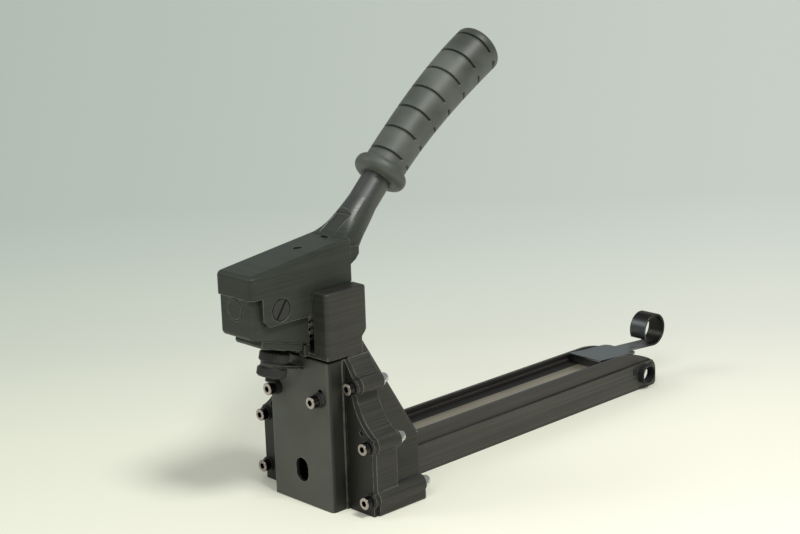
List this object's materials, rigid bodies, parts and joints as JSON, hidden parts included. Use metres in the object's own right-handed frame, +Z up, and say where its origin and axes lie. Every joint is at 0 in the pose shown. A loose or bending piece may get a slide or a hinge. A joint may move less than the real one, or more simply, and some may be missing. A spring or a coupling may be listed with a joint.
{
  "type": "carton stapler",
  "caption": "Hand-lever carton stapler: black cast body, lever with grooved rubber grip, long open staple magazine with spring pusher and finger loop, clinching claws inside.",
  "frame": {"origin": "middle of the front cover's bottom edge, on the plane the tool stands on", "axes": "+Z up, +Y along the magazine to the rear, +X to the tool's side (right of the picture)"},
  "size_m": [0.118, 0.4399, 0.3062],
  "materials": {
    "casting_black": "black enamel on cast aluminium",
    "plate_black": "semi-matt black enamel on steel",
    "lever_black": "satin black enamel on pressed steel",
    "magazine_black": "black enamel on steel sheet",
    "rail_black": "black anodised extrusion",
    "blackened_steel": "black oxide",
    "bright_steel": "ground steel",
    "tool_steel": "hardened steel",
    "blued_steel": "blued sheet steel",
    "ribbon_steel": "bare spring steel",
    "chrome": "polished plating",
    "grip_rubber": "matt moulded rubber"
  },
  "bodies": {
    "frame": {"main_casting": "casting_black", "front_plate": "plate_black", "front_cover": "plate_black", "cover_screws": "bright_steel", "cover_washers": "blackened_steel", "cover_spacers": "blackened_steel", "upper_bolts": "bright_steel", "middle_bolts": "bright_steel", "lower_bolts": "bright_steel", "bolt_washers": "blackened_steel", "dome_nuts": "chrome", "throat_screw": "bright_steel", "fulcrum_block": "lever_black", "fulcrum_plug": "lever_black", "adjuster_stud": "bright_steel", "adjuster_washer": "blackened_steel", "clincher_pins": "tool_steel", "return_spring": "blackened_steel", "spring_guide": "bright_steel", "magazine_floor": "magazine_black", "magazine_sides": "magazine_black", "magazine_rails": "rail_black", "rear_bushes": "blackened_steel", "magazine_rivets": "blackened_steel", "magazine_screws": "blackened_steel", "magazine_core": "blackened_steel", "ribbon_spring": "ribbon_steel"},
    "lever": {"lever": "lever_black", "pivot_pin": "blackened_steel", "drive_pin": "tool_steel", "handle_grip": "grip_rubber"},
    "ram": {"ram": "tool_steel", "driver_blade": "tool_steel", "clincher_yoke": "tool_steel", "yoke_screws": "blackened_steel"},
    "left_clincher": {"left_clincher": "tool_steel", "left_tail_pin": "tool_steel"},
    "right_clincher": {"right_clincher": "tool_steel", "right_tail_pin": "tool_steel"},
    "adjusting_nut": {"adjusting_nut": "blackened_steel"},
    "lock_nut": {"lock_nut": "blackened_steel"},
    "pusher": {"pusher_plate": "blued_steel", "pusher_saddle": "blackened_steel", "coil_pin": "tool_steel", "pusher_rivets": "tool_steel"},
    "ribbon_roll": {"ribbon_coil": "ribbon_steel"}
  },
  "joints": [
    {"name": "lever_hinge", "type": "hinge", "parent": "frame", "child": "lever", "pos_m": [0, -0.0265, 0.1461], "axis": [-1, 0, 0], "range_deg": [0, 40], "stiffness_Nm_per_rad": 3, "springref_deg": -34.38},
    {"name": "ram_slide", "type": "slide", "parent": "frame", "child": "ram", "axis": [0, 0, -1], "range_m": [0, 0.02346], "deforming": ["return_spring"]},
    {"name": "left_clincher_hinge", "type": "hinge", "parent": "frame", "child": "left_clincher", "pos_m": [-0.026, 0.0199, 0.0185], "axis": [0, -1, 0], "range_deg": [0, 78.5]},
    {"name": "right_clincher_hinge", "type": "hinge", "parent": "frame", "child": "right_clincher", "pos_m": [0.026, 0.0199, 0.0185], "axis": [0, 1, 0], "range_deg": [0, 78.5]},
    {"name": "adjusting_nut_turn", "type": "hinge", "parent": "frame", "child": "adjusting_nut", "pos_m": [0, -0.02213, 0.09942], "axis": [0, 0.2588, 0.9659], "continuous": true},
    {"name": "lock_nut_turn", "type": "hinge", "parent": "frame", "child": "lock_nut", "pos_m": [0, -0.0195, 0.10922], "axis": [0, 0.2588, 0.9659], "continuous": true},
    {"name": "pusher_slide", "type": "slide", "parent": "frame", "child": "pusher", "axis": [0, -1, 0], "range_m": [0, 0.255], "deforming": ["ribbon_spring"]},
    {"name": "ribbon_roll_turn", "type": "hinge", "parent": "pusher", "child": "ribbon_roll", "pos_m": [0, 0.306, 0.0274], "axis": [1, 0, 0], "range_deg": [0, 6092.7]}
  ],
  "couplings": [
    {"joint": "ram_slide", "follows": "lever_hinge", "m_per_rad": 0.033313},
    {"joint": "left_clincher_hinge", "follows": "lever_hinge", "ratio": 1.95},
    {"joint": "right_clincher_hinge", "follows": "lever_hinge", "ratio": 1.95},
    {"joint": "ribbon_roll_turn", "follows": "pusher_slide", "rad_per_m": 416.67}
  ]
}
